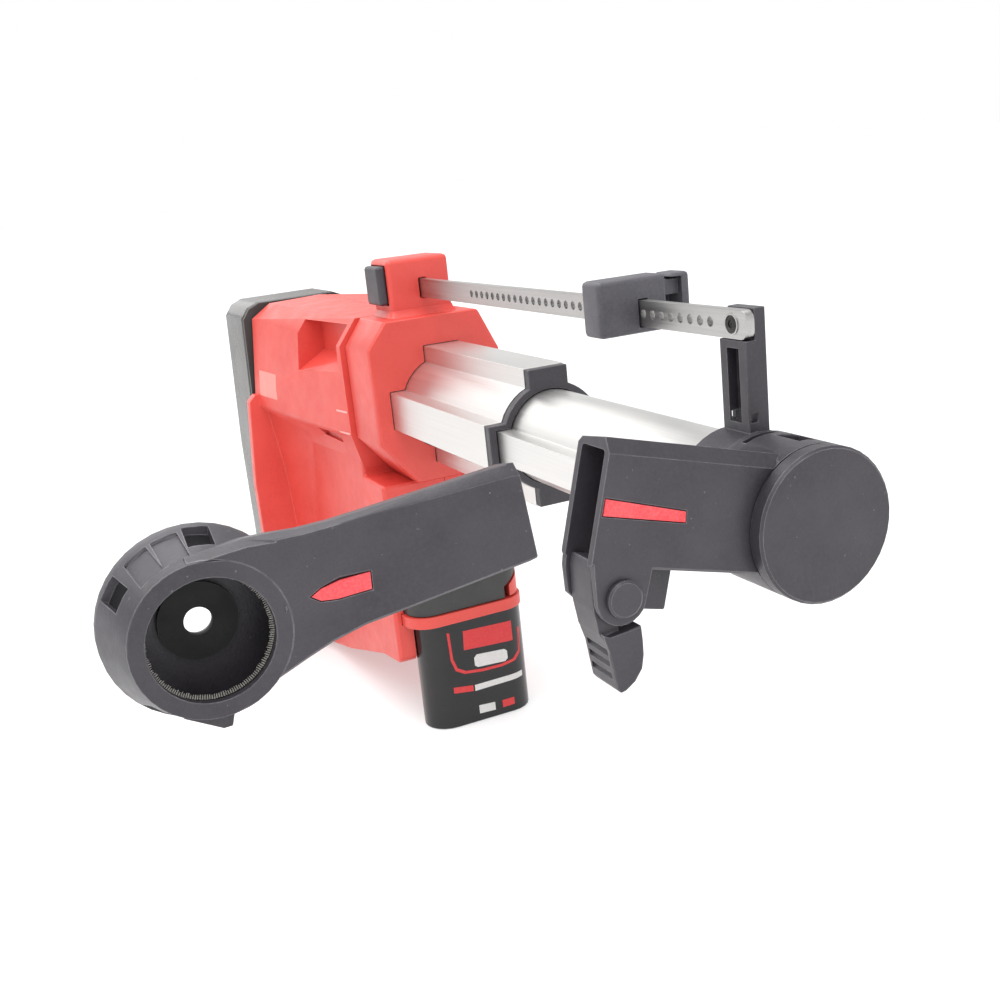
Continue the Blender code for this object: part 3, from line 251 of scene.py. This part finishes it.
def fibrous(name, dark, light, scale, stretch):
    """Paper or bristle: soft streaky fibres."""
    material, tree, shader = new_material(name, Roughness=0.9)
    fibres = noise(tree, place(tree, stretch), scale, 4.0, 0.7)
    tone = mix(tree, spread(tree, fibres, 0.0, 1.0), dark, light)
    normal = bump(tree, fibres, 0.5, 0.15 * MM)
    finish(tree, shader, tone, None, normal)
    return material


def circuit(name):
    """Lacquered board with fine tracks."""
    material, tree, shader = new_material(name, Coat_Weight=0.4, Coat_Roughness=0.15)
    here = place(tree)
    cells = add(tree, "ShaderNodeTexVoronoi", {"Vector": here, "Scale": 260.0}, distance="MANHATTAN")
    tone = ramp(tree, cells.outputs["Distance"], [
        (0.30, (0.020, 0.120, 0.045)), (0.42, (0.050, 0.260, 0.100))])
    finish(tree, shader, tone, spread(tree, noise(tree, here, 400.0), 0.30, 0.45))
    return material


# Each moulded material's third colour goes on dust flecks and on paler edges; the edges are partly wear and
# partly painted highlight.
MATERIALS = {
    "black_plastic": moulded(
        "black_plastic", (0.0245, 0.0215, 0.0275), (0.052, 0.0470, 0.0565), (0.240, 0.230, 0.248),
        (0.36, 0.50), 2300.0, 0.45, 0.90),
    "red_plastic": moulded(
        "red_plastic", (0.590, 0.048, 0.036), (0.670, 0.073, 0.057), (0.800, 0.220, 0.180), (0.34, 0.46),
        1700.0, 0.14, 0.40, 0.10),
    "mark_red": printed("mark_red", (0.740, 0.052, 0.064), (0.850, 0.190, 0.200)),
    "grey_plastic": moulded(
        "grey_plastic", (0.025, 0.025, 0.0245), (0.042, 0.042, 0.041), (0.150, 0.150, 0.146), (0.40, 0.55)),
    "battery_case": moulded(
        "battery_case", (0.008, 0.008, 0.009), (0.013, 0.013, 0.014), (0.070, 0.070, 0.072), (0.22, 0.28),
        1500.0, 0.06, 0.30, 0.10, Specular_IOR_Level=0.40, Coat_Weight=0.12, Coat_Roughness=0.20),
    "aluminium": drawn_metal(
        "aluminium", (0.665, 0.658, 0.642), (0.735, 0.728, 0.712), (0.36, 0.42), 0.08),
    "steel": drawn_metal("steel", (0.420, 0.413, 0.404), (0.530, 0.522, 0.512), (0.30, 0.42), 0.18),
    "smoke": smoked("smoke"),
    "rubber": moulded(
        "rubber", (0.012, 0.012, 0.012), (0.020, 0.020, 0.020), (0.050, 0.050, 0.050), (0.72, 0.86),
        900.0, 0.30),
    "filter_paper": fibrous(
        "filter_paper", (0.560, 0.530, 0.460), (0.760, 0.730, 0.660), 900.0, (1.0, 1.0, 0.15)),
    "circuit_board": circuit("circuit_board"),
    "bristle": fibrous(
        "bristle", (0.200, 0.190, 0.170), (0.480, 0.460, 0.420), 2600.0, (1.0, 0.2, 1.0)),
}


def tinted(name, base, fleck):
    MATERIALS[name] = printed(name, base, fleck, 900.0)
    return MATERIALS[name]


LABEL_RED = tinted("label_red", (0.560, 0.030, 0.034), (0.640, 0.075, 0.075))
LABEL_PALE = tinted("label_pale", (0.560, 0.550, 0.540), (0.700, 0.690, 0.680))
STICKER = tinted("sticker", (0.700, 0.240, 0.210), (0.760, 0.340, 0.310))
TICK = tinted("tick", (0.740, 0.330, 0.300), (0.800, 0.460, 0.430))
BLACK_OXIDE = drawn_metal(
    "black_oxide", (0.035, 0.034, 0.034), (0.070, 0.068, 0.066), (0.36, 0.50), 0.20)
# A paler copy of the black plastic: partly the stop's own tone, partly painted light.
PALE_LIT_BLACK = moulded(
    "pale_lit_black", (0.056, 0.053, 0.064), (0.110, 0.105, 0.120), (0.300, 0.290, 0.310), (0.42, 0.56),
    2300.0, 0.35, 0.60)
# These nodes are paler than the rest of their slot: partly their own paler tone, partly painted light for
# the light falling on their fronts.
PALE_LIT_MATERIAL = {"depth_stop": PALE_LIT_BLACK, "stop_button": PALE_LIT_BLACK}


# ---------------------------------------------------------------- mesh helpers

def new_piece(name, bm, body, material):
    """Makes an object of a bmesh, and lets it ride on a body."""
    mesh = bpy.data.meshes.new(name)
    bm.to_mesh(mesh)
    bm.free()
    piece = bpy.data.objects.new(name, mesh)
    bpy.context.scene.collection.objects.link(piece)
    mesh.materials.append(material)
    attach(piece, body)
    return piece


def welded(node):
    """The node's solid as a bmesh with shared corners and whole flat faces."""
    bm = bmesh.new()
    bm.from_mesh(NODES[node].data)
    bmesh.ops.remove_doubles(bm, verts=bm.verts, dist=WELD)
    bmesh.ops.dissolve_limit(
        bm, angle_limit=math.radians(0.4), verts=bm.verts, edges=bm.edges, use_dissolve_boundaries=False)
    return bm


def middle_of(edge):
    return (edge.verts[0].co + edge.verts[1].co) / 2


def roundable(bm, width, least_angle, crisp):
    """The sharp edges that have room for a rounding of this width; crisp says which stay as they are."""
    sharp = {
        edge for edge in bm.edges
        if len(edge.link_faces) == 2 and edge.calc_face_angle(0.0) > least_angle
        and not (crisp and crisp(middle_of(edge) / MM))
    }
    chosen = []
    for edge in sharp:
        roomy = True
        for vert in edge.verts:
            others = [other for other in vert.link_edges if other in sharp and other is not edge]
            if len(others) == 1:
                here = (edge.other_vert(vert).co - vert.co).normalized()
                there = (others[0].other_vert(vert).co - vert.co).normalized()
                if here.dot(there) < STRAIGHT_ON:
                    continue
            if edge.calc_length() < ROOM_ALONG * width:
                roomy = False
        if roomy and min(face.calc_area() for face in edge.link_faces) > (ROOM_ACROSS * width) ** 2:
            chosen.append(edge)
    return chosen


def shade(mesh, angle=PLAIN_CREASE):
    """Smooth shading with creases where faces meet sharply."""
    for polygon in mesh.polygons:
        polygon.use_smooth = True
    mesh.set_sharp_from_angle(angle=math.radians(angle))


def folded(bm):
    """The corners of faces whose own triangles turn over, where a rounding ran out of room."""
    sliver = 2e-9    # twice the area, in square metres, below which a triangle's direction says nothing
    corners = {}
    for loops in bm.calc_loop_triangles():
        one, two, three = (loop.vert.co for loop in loops)
        normal = (two - one).cross(three - one)
        face = loops[0].face
        if len(face.verts) > 3 and normal.length > sliver and normal.normalized().dot(face.normal) < 0.2:
            corners[face.index] = [vert.co.copy() for vert in face.verts]
    return [corner for face in corners.values() for corner in face]


def rounded(node, width, least_angle, crisp):
    """The node's solid with rounded edges, without the roundings that would fold a face."""
    barred = []
    for attempt in range(TRIES):
        bm = welded(node)
        edges = [
            edge for edge in roundable(bm, width, least_angle, crisp)
            if all((middle_of(edge) - middle).length > 1e-6 for middle in barred)
        ]
        middles = [middle_of(edge) for edge in edges]
        ends = [(edge.verts[0].co.copy(), edge.verts[1].co.copy()) for edge in edges]
        if edges:
            bmesh.ops.bevel(
                bm, geom=edges, offset=width, offset_type="OFFSET", segments=SEGMENTS,
                profile=0.6, affect="EDGES", clamp_overlap=False, miter_outer="SHARP")
        bmesh.ops.remove_doubles(bm, verts=bm.verts, dist=WELD)
        bm.normal_update()
        trouble = folded(bm)
        if not trouble or not edges:
            break
        reach = ROOM_ACROSS * width
        for middle, (start, end) in zip(middles, ends):
            if any(min((start - spot).length, (end - spot).length) < reach for spot in trouble):
                barred.append(middle)
        if attempt < TRIES - 1:
            bm.free()
    return bm


def refine(node, width):
    """Replaces a node by a copy with rounded edges."""
    least_angle = math.radians(LEAST_ANGLE.get(node, PLAIN_ANGLE))
    bm = rounded(node, width * MM, least_angle, CRISP.get(node))
    slot = SLOT_OF[node]
    piece = new_piece(node + "_form", bm, BODY_OF[node], PALE_LIT_MATERIAL.get(node, MATERIALS[slot]))
    shade(piece.data, CREASE.get(node, PLAIN_CREASE))
    piece.modifiers.new("normals", "WEIGHTED_NORMAL").keep_sharp = True
    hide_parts(node)


def stuck(name, node, centre, facing, outline, material, lift=LABEL_LIFT):
    """A thin label: a flat outline laid onto a node along one direction, in millimetres."""
    target = welded(node)
    tree = BVHTree.FromBMesh(target)
    target.free()
    out = Vector(facing).normalized()
    across = Vector((0.0, 0.0, 1.0)).cross(out).normalized()
    up = out.cross(across)
    start = Vector(centre) * MM + out * 30 * MM
    bm = bmesh.new()
    bm.faces.new([bm.verts.new(start + across * u * MM + up * v * MM) for u, v in outline])
    for axis, reach in ((across, 0), (up, 1)):
        low = min(point[reach] for point in outline)
        high = max(point[reach] for point in outline)
        for step in range(1, int((high - low) / LABEL_PITCH) + 1):
            bmesh.ops.bisect_plane(
                bm, geom=bm.verts[:] + bm.edges[:] + bm.faces[:],
                plane_co=start + axis * (low + step * LABEL_PITCH) * MM, plane_no=axis)
    bmesh.ops.triangulate(bm, faces=bm.faces)
    for vert in bm.verts:
        hit = tree.ray_cast(vert.co, -out)[0]
        if hit is None:
            raise ValueError(name + " runs past the edge of " + node)
        vert.co = hit + out * lift * MM
    bm.normal_update()
    lower = bmesh.ops.extrude_face_region(bm, geom=bm.faces[:])["geom"]
    for vert in lower:
        if isinstance(vert, bmesh.types.BMVert):
            vert.co -= out * (lift + LABEL_ROOT) * MM
    bmesh.ops.recalc_face_normals(bm, faces=bm.faces)
    shade(new_piece(name, bm, BODY_OF[node], material).data, 40.0)


# ---------------------------------------------------------------- refined nodes

# Rounding of each node's edges, in millimetres.  The other nodes keep their CAD shape, apart from
# the brush ring, which brush_tufts replaces.
ROUNDING = {
    "elbow_housing": 0.55, "front_cap": 0.45, "latch_pin": 0.3, "latch_lever": 0.45, "nozzle_duct": 0.5,
    "nozzle_ring": 0.3, "post_bracket": 0.3, "inner_tube": 0.2, "depth_rod": 0.25, "depth_stop": 0.3,
    "stop_button": 0.3, "outer_tube": 0.25, "tube_bushing": 0.3, "front_collar": 0.6,
    "rod_guide_block": 0.7, "rod_lock_button": 0.5, "housing_left": 0.6, "housing_right": 0.6,
    "power_button": 0.4, "exhaust_grille": 0.2, "battery_pack": 0.6, "battery_receptacle": 0.4,
    "battery_release": 0.4, "battery_skirt": 0.4, "dust_box": 0.6, "dust_box_button": 0.4,
}


def ring_middle():
    low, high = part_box("brush_ring")
    return (low + high) / 2 / MM


RING_MIDDLE = ring_middle()


def at_seam(spot):
    """Where the duct runs into the ring the edges stay crisp, so the joint is a hairline."""
    away = spot - RING_MIDDLE
    away.y = 0.0
    return away.x > 4.0 and 16.0 < away.length < 23.5


# Which edges of a node stay crisp, by the edge's middle in millimetres.
CRISP = {
    "nozzle_duct": at_seam,
    "nozzle_ring": at_seam,
    "rod_guide_block": lambda spot: spot.z < 196.0,
    "front_collar": lambda spot: spot.y > 8.0 or abs(math.hypot(spot.x, spot.z - 156.0) - 22.0) < 5.0,
}
# Nodes with angles of their own, in degrees, in place of PLAIN_ANGLE and PLAIN_CREASE.
LEAST_ANGLE = {"nozzle_duct": 20.0}
CREASE = {
    "nozzle_duct": 16.0, "elbow_housing": 24.0, "latch_lever": 24.0, "housing_left": 24.0,
    "housing_right": 24.0,
}
for node, width in ROUNDING.items():
    refine(node, width)
for node, thing in NODES.items():
    if node not in ROUNDING:
        thing.data.materials.clear()
        thing.data.materials.append(MATERIALS[SLOT_OF[node]])
        shade(thing.data)


# ---------------------------------------------------------------- studio

SKY_LIGHT, SKY_SEEN = 0.72, 1.0    # strength of the white world as a light, and behind the object
FLOOR_GAP = 0.0003                 # below the part, in metres
FLOOR_HALF = 40.0                  # half the floor's side, in metres
FLOOR_TONES = ((0.55, 0.55, 0.55), (0.57, 0.57, 0.57))
FLOOR_GLOW = 0.42                  # lifts the floor to the white of the photo's ground
# Name, direction the light comes from, strength, width of its disc in degrees.
SUNS = (
    ("key", (-0.28, -0.50, 1.0), 1.12, 40.0),
    ("top", (0.10, 0.25, 1.0), 1.15, 60.0),
    ("front", (0.10, -1.0, 0.35), 0.45, 60.0),
    ("rim", (-0.15, 1.0, 0.50), 0.60, 50.0),
)
# The camera, worked out from the photo's vanishing points: lens in millimetres, place in metres.
LENS, SENSOR = 43.416, 36.0
CAMERA_AT = (-0.1936, -0.5130, 0.2523)
CAMERA_RIGHT = (0.9010, -0.4218, -0.1007)
CAMERA_BACK = (-0.3849, -0.8848, 0.2629)


def area_light(name, place_m, aim, size, power):
    lamp = bpy.data.lights.new(name, "AREA")
    lamp.shape = "RECTANGLE"
    lamp.size, lamp.size_y = size
    lamp.energy = power
    thing = bpy.data.objects.new(name, lamp)
    thing.location = place_m
    thing.rotation_euler = (Vector(aim) - Vector(place_m)).to_track_quat("-Z", "Y").to_euler()
    bpy.context.scene.collection.objects.link(thing)


def soft_sun(name, towards, strength, width):
    """A far light with a broad disc; it comes from the given direction."""
    lamp = bpy.data.lights.new(name, "SUN")
    lamp.energy = strength
    lamp.angle = math.radians(width)
    thing = bpy.data.objects.new(name, lamp)
    thing.rotation_euler = Vector(towards).to_track_quat("Z", "Y").to_euler()
    bpy.context.scene.collection.objects.link(thing)


def studio():
    """White world, pale glowing floor, four broad suns and one strip light."""
    world = bpy.data.worlds.new("studio")
    bpy.context.scene.world = world
    world.use_nodes = True
    tree = world.node_tree
    seen = add(tree, "ShaderNodeLightPath").outputs["Is Camera Ray"]
    strength = spread(tree, seen, SKY_LIGHT, SKY_SEEN, 0.0, 1.0)
    back = tree.nodes["Background"]
    back.inputs["Color"].default_value = (1.0, 1.0, 1.0, 1.0)
    tree.links.new(strength, back.inputs["Strength"])

    bm = bmesh.new()
    bmesh.ops.create_grid(bm, x_segments=2, y_segments=2, size=FLOOR_HALF)
    mesh = bpy.data.meshes.new("floor")
    bm.to_mesh(mesh)
    bm.free()
    floor = bpy.data.objects.new("floor", mesh)
    floor.location = (0.0, 0.0, CAD_BOX[0].z - FLOOR_GAP)
    bpy.context.scene.collection.objects.link(floor)
    material, tree, shader = new_material("pale_floor", Specular_IOR_Level=0.1)
    tone = mix(tree, spread(tree, noise(tree, place(tree), 9.0), 0.0, 1.0), *FLOOR_TONES)
    finish(tree, shader, tone, spread(tree, noise(tree, place(tree), 30.0), 0.8, 0.95))
    shader.inputs["Emission Color"].default_value = (1.0, 1.0, 1.0, 1.0)
    shader.inputs["Emission Strength"].default_value = FLOOR_GLOW
    mesh.materials.append(material)

    for sun in SUNS:
        soft_sun(*sun)
    area_light("strip", (-0.30, -0.05, 0.85), (0.0, -0.10, 0.17), (0.5, 1.1), 4.0)


def camera():
    lens = bpy.data.cameras.new("camera")
    lens.lens = LENS
    lens.sensor_width = SENSOR
    lens.clip_start = 0.01
    thing = bpy.data.objects.new("camera", lens)
    right = Vector(CAMERA_RIGHT).normalized()
    back = Vector(CAMERA_BACK)
    back = (back - back.dot(right) * right).normalized()
    turn = Matrix((right, back.cross(right), back)).transposed()
    thing.matrix_world = Matrix.Translation(CAMERA_AT) @ turn.to_4x4()
    bpy.context.scene.collection.objects.link(thing)
    bpy.context.scene.camera = thing


# ---------------------------------------------------------------- small pieces

def battery_label():
    """A plain label with no wording: bars, a pill and a curved frame, all in millimetres."""
    line = [
        (-15.5, 21.0), (-15.0, 7.0), (-13.2, 1.4), (-9.0, -1.2), (0.0, -2.4), (10.0, -2.6), (17.0, -1.6),
        (20.6, 1.8), (21.4, 14.0),
    ]
    inner_line = [(u * 0.93 + 0.2, v * 0.93 + 1.2) for u, v in reversed(line)]
    red = ("mark_red", LABEL_RED)
    pale = ("battery_case", LABEL_PALE)
    for name, (slot, material), outline in (
            ("frame", red, line + inner_line),
            ("block", red, [(-8.0, 10.5), (17.0, 9.0), (17.0, 19.0), (-7.5, 20.0)]),
            ("pill", pale, [
                (-3.4, 1.6), (-2.0, 0.4), (12.0, -0.4), (13.4, 0.8), (13.4, 4.6), (12.0, 5.8),
                (-2.0, 6.8), (-3.4, 5.4)]),
            ("dash", red, [(-15.2, -6.6), (-5.4, -8.0), (-5.4, -11.0), (-15.2, -9.6)]),
            ("bar", pale, [(-4.6, -8.2), (20.4, -8.0), (20.4, -10.8), (-4.6, -11.2)]),
            ("foot", pale, [(-3.6, -19.0), (4.6, -19.6), (4.6, -23.6), (-3.6, -23.2)]),
            ("foot_red", red, [(8.4, -19.8), (14.6, -19.8), (14.6, -23.4), (8.4, -23.6)])):
        stuck("battery_label_" + name, "battery_pack", (3.0, -19.0, 27.0), (-0.2, -1.0, 0.0),
              outline, material)


def lathe(bm, profile, centre, axis, steps):
    """Adds a closed turned solid: the profile is (radius, distance along the axis), in millimetres."""
    along = Vector(axis).normalized()
    side = along.orthogonal().normalized()
    other = along.cross(side)
    rings = []
    for step in range(steps):
        turn = 2 * math.pi * step / steps
        out = side * math.cos(turn) + other * math.sin(turn)
        rings.append([
            bm.verts.new(Vector(centre) * MM + out * r * MM + along * a * MM) for r, a in profile])
    for step in range(steps):
        here, there = rings[step], rings[(step + 1) % steps]
        for index in range(len(profile)):
            after = (index + 1) % len(profile)
            bm.faces.new([here[index], here[after], there[after], there[index]])


def turned(name, profile, centre, axis, steps, body, material):
    """A piece that is one turned solid."""
    bm = bmesh.new()
    lathe(bm, profile, centre, axis, steps)
    bmesh.ops.recalc_face_normals(bm, faces=bm.faces)
    return new_piece(name, bm, body, material)


def rod_screw_head():
    """Dark screw with a hexagon recess, in a bright turned rim on the rod's front end."""
    low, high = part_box("rod_screw")
    spot = (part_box("depth_rod")[0].x / MM, (low.y + high.y) / 2 / MM, (low.z + high.z) / 2 / MM)
    front = (-1, 0, 0)
    rim = [(3.0, -0.10), (3.0, 0.28), (2.8, 0.34), (2.55, 0.28), (2.45, -0.10)]
    head = [(2.42, -0.08), (2.42, 0.10), (2.1, 0.30), (1.25, 0.34), (1.15, 0.24), (1.15, -0.05)]
    socket = [(1.20, -0.06), (1.20, 0.03), (1.0, 0.05), (0.35, 0.02), (0.30, -0.06)]
    shade(turned("rod_screw_rim", rim, spot, front, 48, "arm", MATERIALS["steel"]).data)
    shade(turned("rod_screw_head", head, spot, front, 24, "arm", BLACK_OXIDE).data)
    turned("rod_screw_socket", socket, spot, front, 6, "arm", BLACK_OXIDE)


def brush_tufts():
    """Thin carrier with a fringe of short bristles inside the mouth of the nozzle."""
    tufts_round = 168
    middle = RING_MIDDLE
    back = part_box("brush_ring")[1].y / MM - middle.y
    carrier = [(14.5, back), (14.5, back - 0.9), (14.0, back - 0.9), (13.9, back)]
    shade(turned(
        "brush_carrier", carrier, middle, (0, 1, 0), 64, "nozzle", MATERIALS["rubber"]).data)
    fringe = bmesh.new()
    chance = random.Random(7)
    for index in range(tufts_round):
        turn = 2 * math.pi * index / tufts_round
        out = Vector((math.cos(turn), 0.0, math.sin(turn)))
        side = Vector((-out.z, 0.0, out.x)) * 0.17 * MM
        depth = Vector((0.0, 0.20 * MM, 0.0))
        tip = 13.05 + chance.uniform(0.0, 0.35)
        start = (middle + Vector((0.0, back - 0.75 - chance.uniform(0.0, 0.2), 0.0))) * MM
        corners = []
        for radius, size in ((14.2, 1.0), (tip, 0.45)):
            spot = start + out * radius * MM
            corners.append([
                fringe.verts.new(spot + side * size * a + depth * size * b)
                for a, b in ((-1, -1), (1, -1), (1, 1), (-1, 1))])
        root, end = corners
        fringe.faces.new(root)
        fringe.faces.new(end[::-1])
        for one in range(4):
            two = (one + 1) % 4
            fringe.faces.new([root[one], end[one], end[two], root[two]])
    bmesh.ops.recalc_face_normals(fringe, faces=fringe.faces)
    tufts = new_piece("brush_tufts", fringe, "nozzle", MATERIALS["bristle"])
    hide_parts("brush_ring")


def guide_foot():
    """Low skirt where the rod's guide block grows out of the collar."""
    radius = 2.0     # of its upright corners
    hindmost = 11.4  # the foot goes no further back
    low, high = (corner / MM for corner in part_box("rod_guide_block"))
    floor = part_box("front_collar")[1].z / MM
    bm = bmesh.new()
    rings = []
    for height, spare in ((floor + 0.02, 1.5), (floor + 0.7, 1.1), (floor + 1.6, 0.4), (floor + 2.8, 0.1)):
        left, right, front, back = low.x - spare, high.x + spare, low.y - spare, min(high.y, hindmost)
        corners = []
        for x, y, turn in ((right, back, 0), (left, back, 90), (left, front, 180), (right, front, 270)):
            inward = Vector((
                math.copysign(radius, low.x + high.x - 2 * x),
                math.copysign(radius, low.y + high.y - 2 * y), 0))
            for step in range(4):
                around = math.radians(turn + 30 * step)
                corners.append(
                    Vector((x, y, height)) + inward
                    + Vector((math.cos(around), math.sin(around), 0)) * radius)
        rings.append([bm.verts.new(corner * MM) for corner in corners])
    for lower, upper in zip(rings, rings[1:]):
        for index in range(len(lower)):
            after = (index + 1) % len(lower)
            bm.faces.new([lower[index], lower[after], upper[after], upper[index]])
    bm.faces.new(rings[0][::-1])
    bm.faces.new(rings[-1])
    bmesh.ops.recalc_face_normals(bm, faces=bm.faces)
    shade(new_piece("guide_foot", bm, "body", MATERIALS["red_plastic"]).data, 50.0)


def moulded_marks():
    """Two plain ticks on the body, a pale sticker beside the dust box and a small frame on the nozzle."""
    for index, height in enumerate((152.6, 142.4)):
        stuck("body_tick_%d" % (index + 1), "housing_left", (-36.0, 18.6, height), (-1.0, 0.0, 0.0),
              [(-5.6, -0.6), (5.6, -0.4), (5.6, 0.5), (-5.6, 0.3)], TICK, 0.30)
    stuck("body_sticker", "housing_left", (-48.0, 110.0, 156.2), (-1.0, 0.0, 0.1),
          [(-12.0, -6.6), (12.0, -6.6), (12.6, -6.0), (12.6, 6.0), (12.0, 6.6), (-12.0, 6.6), (-12.6, 6.0),
           (-12.6, -6.0)], STICKER)
    skew = 0.3
    bars = (
        (-1.6, -0.9, 1.5, -0.5), (-1.6, 0.5, 1.5, 0.9), (-1.6, -0.5, -1.2, 0.5), (1.1, -0.5, 1.5, 0.5))
    for index, (left, low, right, high) in enumerate(bars):
        stuck("nozzle_moulding_%d" % (index + 1), "nozzle_ring", (-138.4, -268.5, 166.2), (0.0, -1.0, 0.0),
              [(left, low), (right, low + skew), (right, high + skew), (left, high)],
              MATERIALS["black_plastic"], 0.16)


battery_label()
rod_screw_head()
brush_tufts()
guide_foot()
moulded_marks()
studio()
camera()
bpy.context.scene.view_settings.view_transform = "Standard"

bpy.context.view_layer.update()
